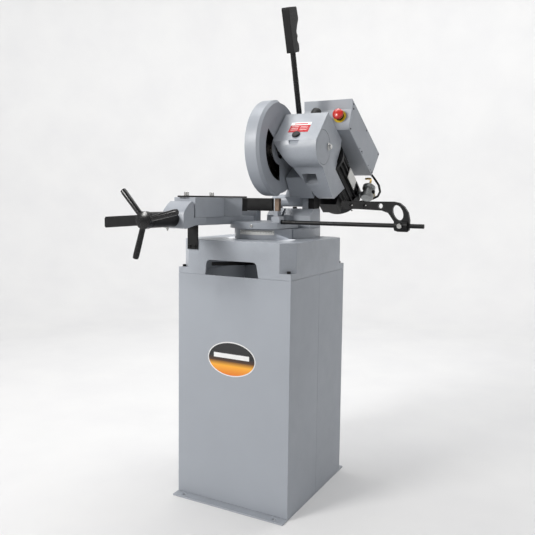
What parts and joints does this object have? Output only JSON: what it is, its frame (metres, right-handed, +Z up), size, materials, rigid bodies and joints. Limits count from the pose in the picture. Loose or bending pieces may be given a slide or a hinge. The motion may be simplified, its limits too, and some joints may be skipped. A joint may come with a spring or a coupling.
{
  "type": "pedestal circular cold saw",
  "caption": "Pedestal circular cold saw: cabinet and tray, swivelling geared head with guarded blade and motor, screw vise, work stop, control box and lever.",
  "frame": {"origin": "centre of the cabinet base's underside, on the floor", "axes": "+Z up, +X to the operator's right along the blade spindle, -Y towards the operator"},
  "size_m": [0.848, 1.054, 1.6567],
  "materials": {
    "grey_paint": "light blue-grey hammered enamel",
    "black_oxide": "semi-gloss black",
    "machined_steel": "turned, satin",
    "raw_steel": "worn brown",
    "bronze": "cast bronze",
    "blade_steel": "steam-tempered dark",
    "black_plastic": "moulded, fine texture",
    "yellow_plastic": "moulded",
    "red_plastic": "moulded"
  },
  "bodies": {
    "base": {"cabinet_base": "grey_paint", "cabinet_front_shell": "grey_paint", "cabinet_rear_shell": "grey_paint", "coolant_tank": "grey_paint", "base_tray": "grey_paint", "vise_strap": "black_oxide", "swivel_column": "machined_steel", "vise_bed": "grey_paint", "fixed_jaw": "black_oxide", "wear_block": "raw_steel", "screw_housing": "grey_paint", "screw_sleeve": "black_oxide", "stop_rod": "black_oxide"},
    "swivel_lock": {"swivel_lock_lever": "black_oxide"},
    "support": {"head_support": "grey_paint", "hinge_pin": "machined_steel", "spring_housing": "black_oxide", "return_spring": "machined_steel", "depth_stop_bolt": "black_oxide"},
    "jaw": {"vise_slide": "grey_paint", "moving_jaw": "black_oxide", "anti_burr_plate": "black_oxide", "slide_bolt_rear": "machined_steel", "slide_bolt_front": "machined_steel"},
    "handwheel": {"vise_screw": "machined_steel", "vise_handwheel": "black_oxide"},
    "quick_lock": {"quick_lock_lever": "black_oxide"},
    "stop": {"stop_arm": "black_oxide", "stop_clamp_screw": "machined_steel"},
    "head": {"head_casting": "grey_paint", "gear_cover": "grey_paint", "level_plug": "machined_steel", "filler_plug": "black_plastic", "oil_breather": "black_plastic", "rear_guard": "grey_paint", "guard_pivot_bolt": "black_oxide", "motor_frame": "black_oxide", "fan_cover": "black_oxide", "control_box": "grey_paint", "control_box_cover": "grey_paint", "contactor": "black_plastic", "estop_collar": "yellow_plastic", "lever_bracket": "black_oxide", "lever_rod": "black_oxide", "lever_grip": "black_plastic", "coolant_valve": "machined_steel", "motor_cable": "black_plastic", "spindle_bearing_left": "machined_steel", "spindle_bearing_right": "machined_steel"},
    "guard": {"front_guard": "grey_paint"},
    "blade_group": {"spindle": "machined_steel", "blade": "blade_steel", "blade_flange": "machined_steel", "blade_bolt": "machined_steel", "worm_wheel": "bronze"},
    "worm_group": {"worm_shaft": "machined_steel", "motor_rotor": "machined_steel", "cooling_fan": "black_plastic"},
    "estop": {"estop_button": "red_plastic"},
    "trigger_body": {"trigger": "black_plastic"}
  },
  "joints": [
    {"name": "head_swivel", "type": "hinge", "parent": "base", "child": "support", "pos_m": [0, 0, 0.885], "axis": [0, 0, 1], "range_deg": [-45, 45]},
    {"name": "swivel_lock_turn", "type": "hinge", "parent": "base", "child": "swivel_lock", "pos_m": [0.04, -0.07, 0.79], "axis": [0, 0, 1], "range_deg": [0, 40]},
    {"name": "head_pivot", "type": "hinge", "parent": "support", "child": "head", "pos_m": [0, 0.19, 0.997], "axis": [-1, 0, 0], "range_deg": [-36, 0], "stiffness_Nm_per_rad": 130},
    {"name": "guard_swing", "type": "hinge", "parent": "head", "child": "guard", "pos_m": [0, 0.05498, 1.17797], "axis": [1, 0, 0], "range_deg": [-116, 0]},
    {"name": "blade_spin", "type": "hinge", "parent": "head", "child": "blade_group", "pos_m": [0, 0.05498, 1.17797], "axis": [1, 0, 0], "continuous": true},
    {"name": "worm_spin", "type": "hinge", "parent": "head", "child": "worm_group", "pos_m": [0.125, 0.18139, 1.15905], "axis": [0, 0.8192, -0.5736], "continuous": true},
    {"name": "jaw_slide", "type": "slide", "parent": "base", "child": "jaw", "axis": [0, 1, 0], "range_m": [0, 0.095]},
    {"name": "handwheel_turn", "type": "hinge", "parent": "base", "child": "handwheel", "pos_m": [-0.125, -0.5, 0.938], "axis": [0, 1, 0], "continuous": true},
    {"name": "quick_lock_turn", "type": "hinge", "parent": "base", "child": "quick_lock", "pos_m": [-0.125, -0.487, 0.938], "axis": [0, 1, 0], "range_deg": [-30, 60]},
    {"name": "stop_slide", "type": "slide", "parent": "base", "child": "stop", "axis": [-1, 0, 0], "range_m": [-0.04, 0.15]},
    {"name": "estop_press", "type": "slide", "parent": "head", "child": "estop", "axis": [0, 0.9416, -0.3366], "range_m": [0, 0.005], "stiffness_N_per_m": 800},
    {"name": "trigger_pull", "type": "hinge", "parent": "head", "child": "trigger_body", "pos_m": [0.06, 0.07092, 1.61018], "axis": [1, 0, 0], "range_deg": [0, 9], "stiffness_Nm_per_rad": 0.4}
  ],
  "couplings": [
    {"joint": "guard_swing", "follows": "head_pivot", "ratio": 3.19},
    {"joint": "worm_spin", "follows": "blade_spin", "ratio": 18},
    {"joint": "handwheel_turn", "follows": "jaw_slide", "rad_per_m": 1256.6}
  ]
}
